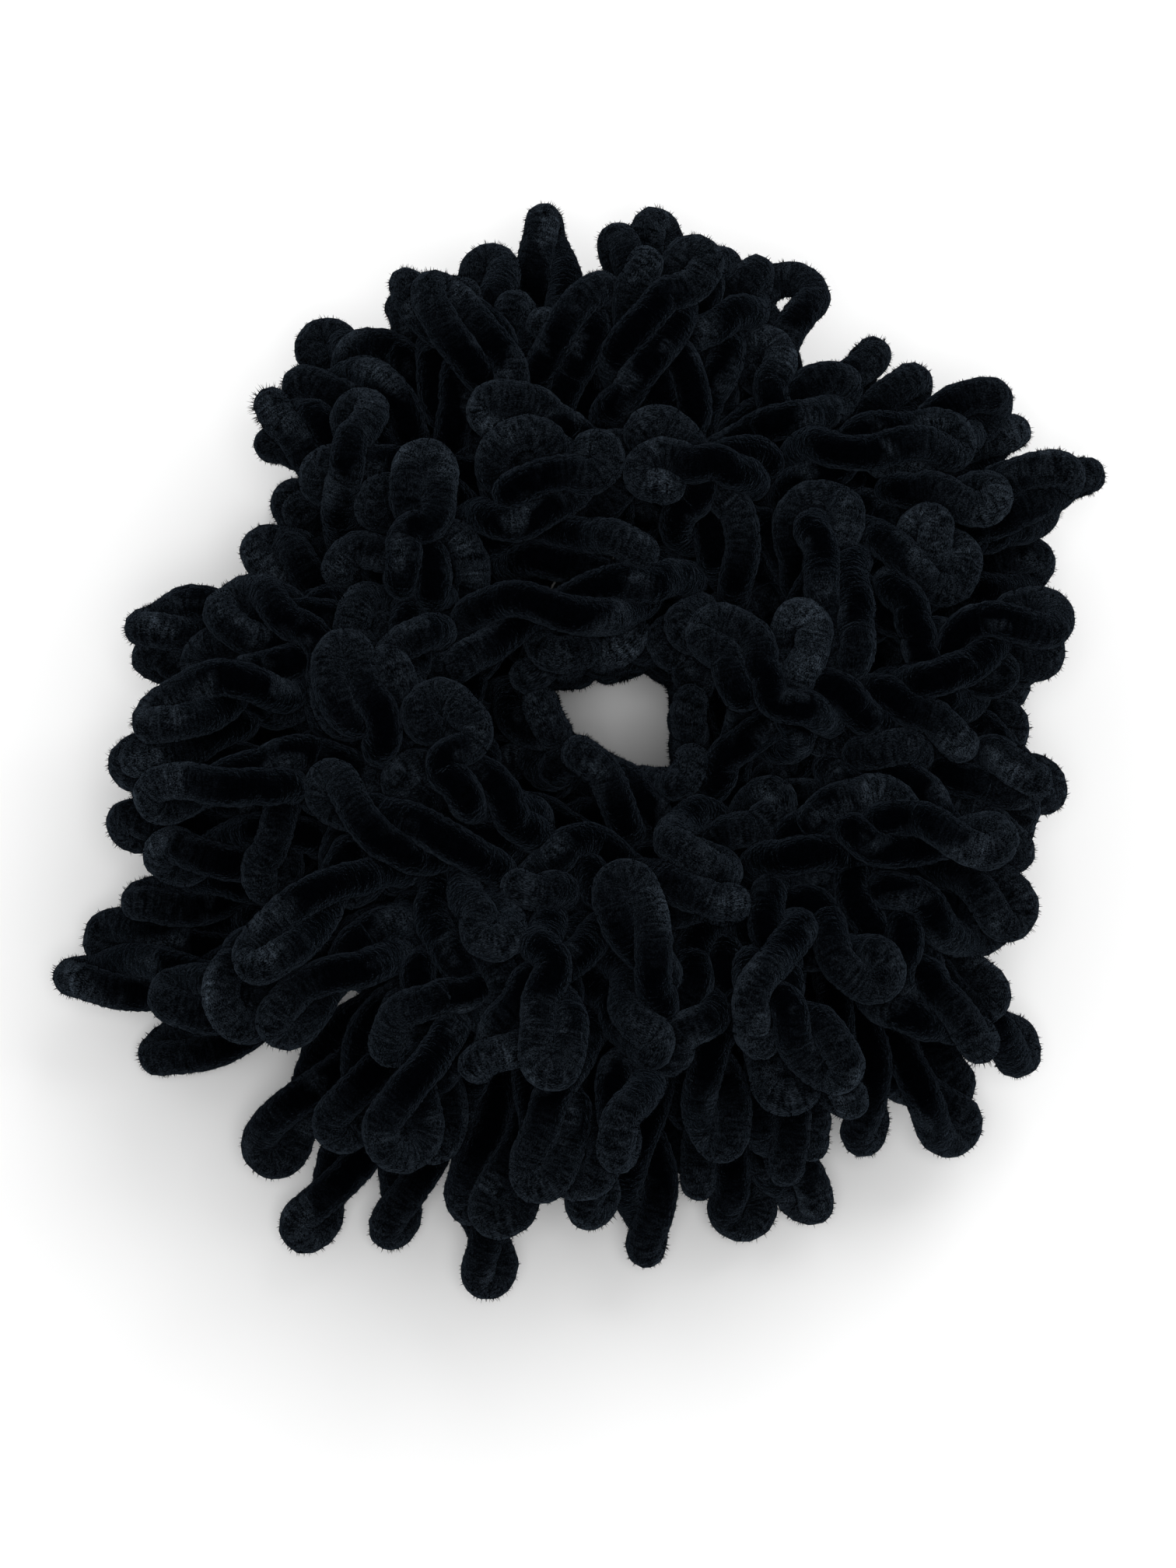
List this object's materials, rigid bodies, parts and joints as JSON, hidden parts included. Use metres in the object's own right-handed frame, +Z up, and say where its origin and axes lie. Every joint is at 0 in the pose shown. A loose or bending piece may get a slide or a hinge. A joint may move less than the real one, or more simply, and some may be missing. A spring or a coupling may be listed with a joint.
{
  "type": "scrunchie",
  "caption": "Round black hair scrunchie of twisted velvet chenille loops tied in bunches along a hidden elastic ring, with an open hole in the middle.",
  "frame": {"origin": "centre of the scrunchie's bounding box, on the flat surface it lies on", "axes": "+Z up, along the ring's own axis; -Y towards the lower edge of the source view and +X to its right"},
  "size_m": [0.1493, 0.1569, 0.059],
  "materials": {
    "chenille": "matte",
    "thread": "matte",
    "elastic": "matte",
    "ferrule": "satin"
  },
  "bodies": {
    "bunch_01": {"outer_loops_01": "chenille", "upper_loops_01": "chenille", "inner_loops_01": "chenille", "under_loops_01": "chenille", "binding_01": "thread", "elastic_ring": "elastic", "elastic_ferrule": "ferrule"},
    "bunch_02": {"outer_loops_02": "chenille", "upper_loops_02": "chenille", "inner_loops_02": "chenille", "under_loops_02": "chenille", "binding_02": "thread"},
    "bunch_03": {"outer_loops_03": "chenille", "upper_loops_03": "chenille", "inner_loops_03": "chenille", "under_loops_03": "chenille", "binding_03": "thread"},
    "bunch_04": {"outer_loops_04": "chenille", "upper_loops_04": "chenille", "inner_loops_04": "chenille", "under_loops_04": "chenille", "binding_04": "thread"},
    "bunch_05": {"outer_loops_05": "chenille", "upper_loops_05": "chenille", "inner_loops_05": "chenille", "under_loops_05": "chenille", "binding_05": "thread"},
    "bunch_06": {"outer_loops_06": "chenille", "upper_loops_06": "chenille", "inner_loops_06": "chenille", "under_loops_06": "chenille", "binding_06": "thread"},
    "bunch_07": {"outer_loops_07": "chenille", "upper_loops_07": "chenille", "inner_loops_07": "chenille", "under_loops_07": "chenille", "binding_07": "thread"},
    "bunch_08": {"outer_loops_08": "chenille", "upper_loops_08": "chenille", "inner_loops_08": "chenille", "under_loops_08": "chenille", "binding_08": "thread"},
    "bunch_09": {"outer_loops_09": "chenille", "upper_loops_09": "chenille", "inner_loops_09": "chenille", "under_loops_09": "chenille", "binding_09": "thread"},
    "bunch_10": {"outer_loops_10": "chenille", "upper_loops_10": "chenille", "inner_loops_10": "chenille", "under_loops_10": "chenille", "binding_10": "thread"}
  },
  "joints": [
    {"name": "stretch_01_02", "type": "slide", "parent": "bunch_01", "child": "bunch_02", "axis": [-0.682, 0.7314, 0], "range_m": [0, 0.0093], "stiffness_N_per_m": 120, "deforming": ["elastic_ring"]},
    {"name": "stretch_02_03", "type": "slide", "parent": "bunch_02", "child": "bunch_03", "axis": [-0.9816, 0.1908, 0], "range_m": [0, 0.0093], "stiffness_N_per_m": 120},
    {"name": "stretch_03_04", "type": "slide", "parent": "bunch_03", "child": "bunch_04", "axis": [-0.9063, -0.4226, 0], "range_m": [0, 0.0093], "stiffness_N_per_m": 120},
    {"name": "stretch_04_05", "type": "slide", "parent": "bunch_04", "child": "bunch_05", "axis": [-0.4848, -0.8746, 0], "range_m": [0, 0.0093], "stiffness_N_per_m": 120},
    {"name": "stretch_05_06", "type": "slide", "parent": "bunch_05", "child": "bunch_06", "axis": [0.1219, -0.9925, 0], "range_m": [0, 0.0093], "stiffness_N_per_m": 120},
    {"name": "stretch_06_07", "type": "slide", "parent": "bunch_06", "child": "bunch_07", "axis": [0.682, -0.7314, 0], "range_m": [0, 0.0093], "stiffness_N_per_m": 120},
    {"name": "stretch_07_08", "type": "slide", "parent": "bunch_07", "child": "bunch_08", "axis": [0.9816, -0.1908, 0], "range_m": [0, 0.0093], "stiffness_N_per_m": 120},
    {"name": "stretch_08_09", "type": "slide", "parent": "bunch_08", "child": "bunch_09", "axis": [0.9063, 0.4226, 0], "range_m": [0, 0.0093], "stiffness_N_per_m": 120},
    {"name": "stretch_09_10", "type": "slide", "parent": "bunch_09", "child": "bunch_10", "axis": [0.4848, 0.8746, 0], "range_m": [0, 0.0093], "stiffness_N_per_m": 120}
  ],
  "couplings": [
    {"joint": "stretch_02_03", "follows": "stretch_01_02", "ratio": 1},
    {"joint": "stretch_03_04", "follows": "stretch_01_02", "ratio": 1},
    {"joint": "stretch_04_05", "follows": "stretch_01_02", "ratio": 1},
    {"joint": "stretch_05_06", "follows": "stretch_01_02", "ratio": 1},
    {"joint": "stretch_06_07", "follows": "stretch_01_02", "ratio": 1},
    {"joint": "stretch_07_08", "follows": "stretch_01_02", "ratio": 1},
    {"joint": "stretch_08_09", "follows": "stretch_01_02", "ratio": 1},
    {"joint": "stretch_09_10", "follows": "stretch_01_02", "ratio": 1}
  ]
}
